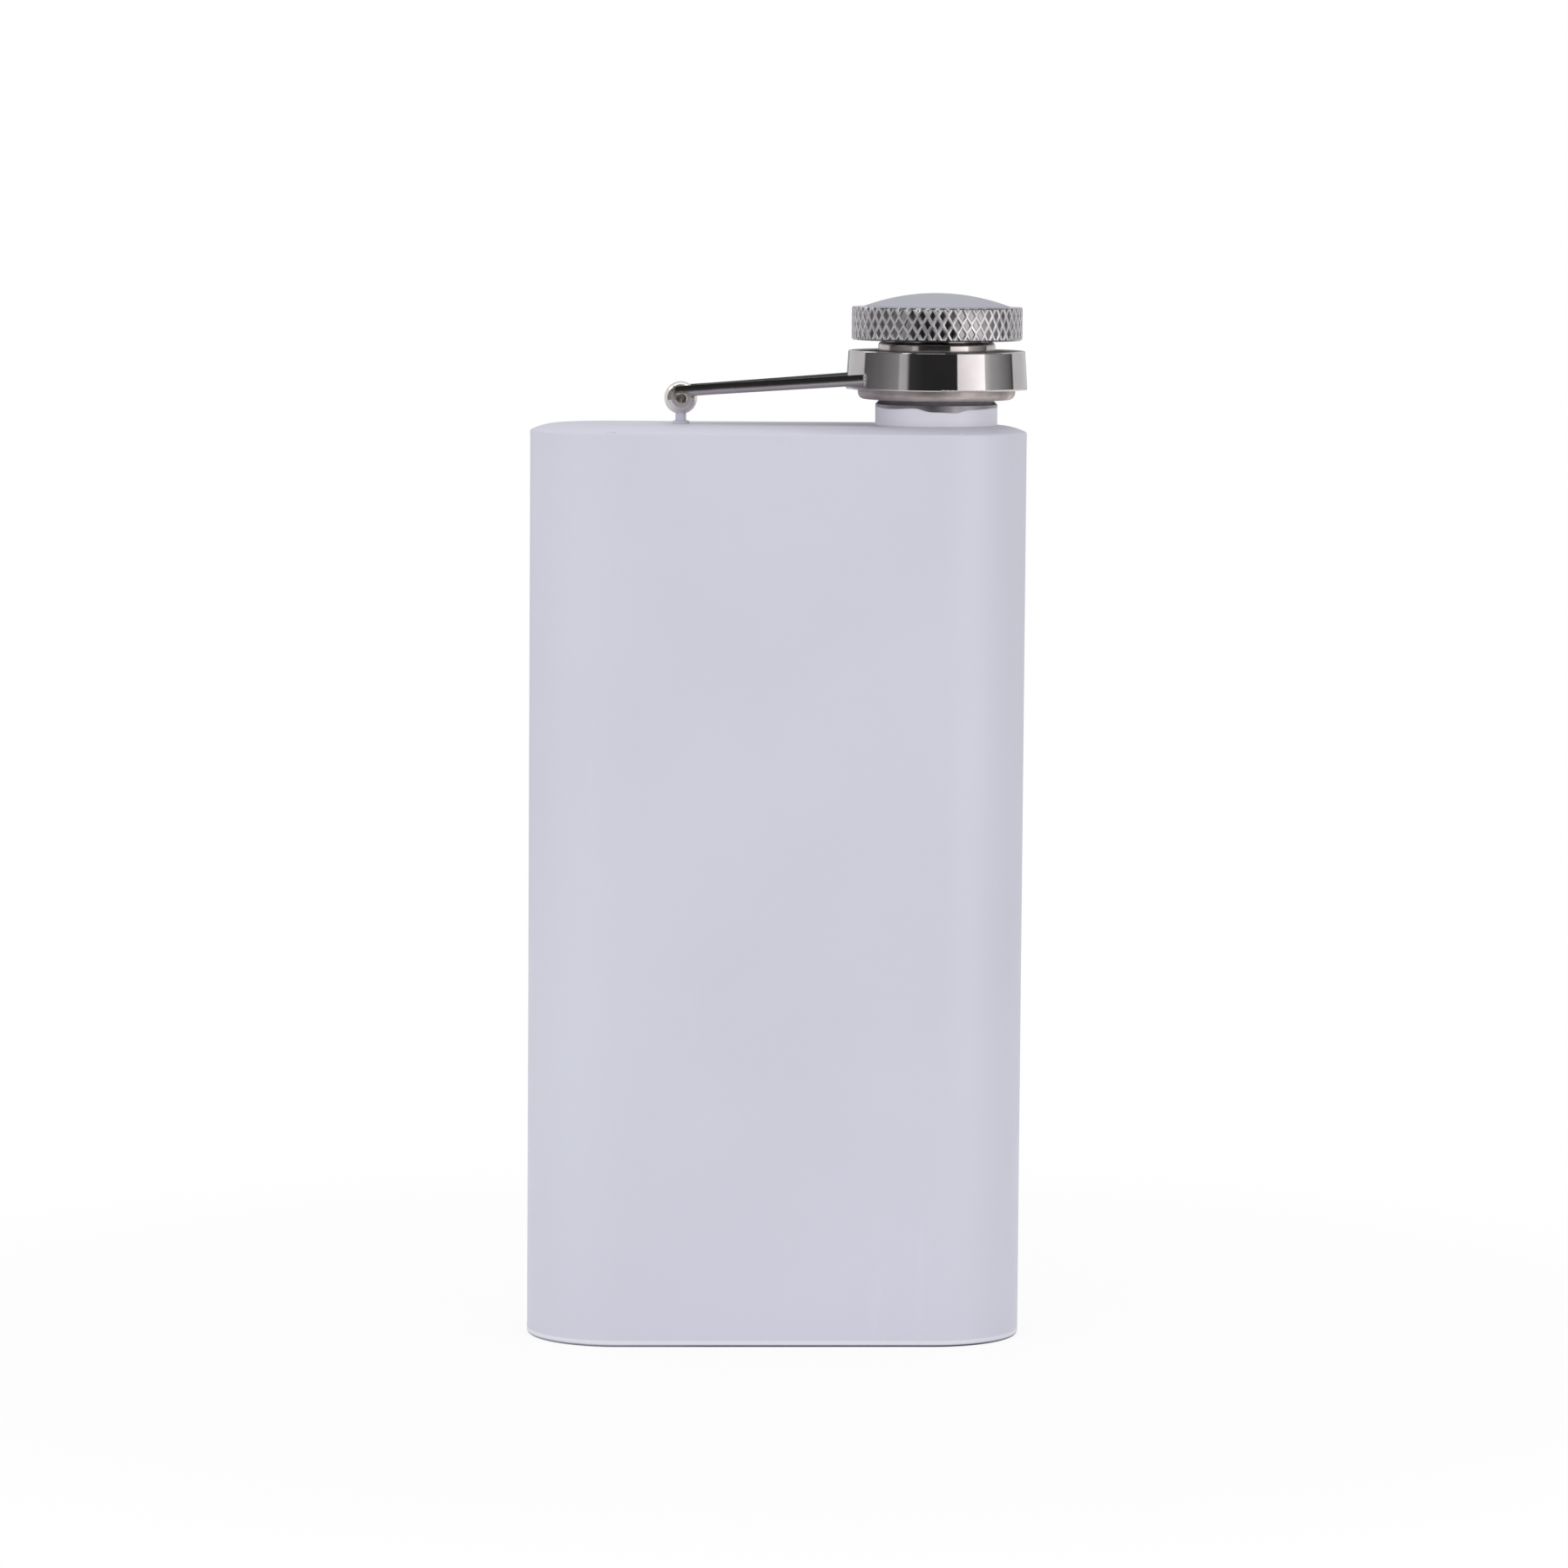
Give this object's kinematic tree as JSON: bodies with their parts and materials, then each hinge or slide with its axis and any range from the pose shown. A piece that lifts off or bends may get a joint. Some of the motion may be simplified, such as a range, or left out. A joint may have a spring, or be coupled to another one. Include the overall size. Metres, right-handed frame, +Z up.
{
  "type": "hip flask",
  "caption": "Slim pocket flask with rounded sides and a knurled screw cap held captive on a hinged arm; the cap unscrews, lifts and swings clear of the threaded neck.",
  "frame": {"origin": "centre of the flat base, on the surface that the flask stands on", "axes": "+Z up through the neck, +X towards the side that carries the neck and cap, +Y towards the back"},
  "size_m": [0.0744, 0.0272, 0.1573],
  "materials": {
    "white_paint": "satin white paint on steel sheet",
    "painted_neck": "satin white paint with a bare steel rim",
    "cap_paint": "satin white paint",
    "polished_steel": "mirror polished stainless steel",
    "arm_steel": "polished stainless steel bar",
    "turned_steel": "turned stainless steel",
    "knurled_steel": "diamond knurled stainless steel",
    "seal_rubber": "soft translucent white seal"
  },
  "bodies": {
    "flask": {"body_shell": "white_paint", "base_plate": "white_paint", "shoulder_plate": "white_paint", "neck": "painted_neck", "hinge_post": "polished_steel"},
    "arm": {"swing_arm": "arm_steel", "collar": "polished_steel", "hinge_pin": "polished_steel"},
    "washer": {"slip_washer": "polished_steel"},
    "cap": {"stopper": "turned_steel", "seal_ring": "seal_rubber", "knurled_head": "knurled_steel", "dome_cover": "cap_paint", "cap_screw": "turned_steel"}
  },
  "joints": [
    {"name": "arm_swing", "type": "hinge", "parent": "flask", "child": "arm", "pos_m": [-0.0147, 0, 0.14145], "axis": [0, -1, 0], "range_deg": [0, 180]},
    {"name": "cap_lift", "type": "slide", "parent": "arm", "child": "washer", "axis": [0, 0, 1], "range_m": [0, 0.00413]},
    {"name": "cap_spin", "type": "hinge", "parent": "washer", "child": "cap", "pos_m": [0.0236, 0, 0.15], "axis": [0, 0, 1], "range_deg": [0, 990]}
  ],
  "couplings": [
    {"joint": "cap_lift", "follows": "cap_spin", "m_per_rad": 0.00023873}
  ]
}
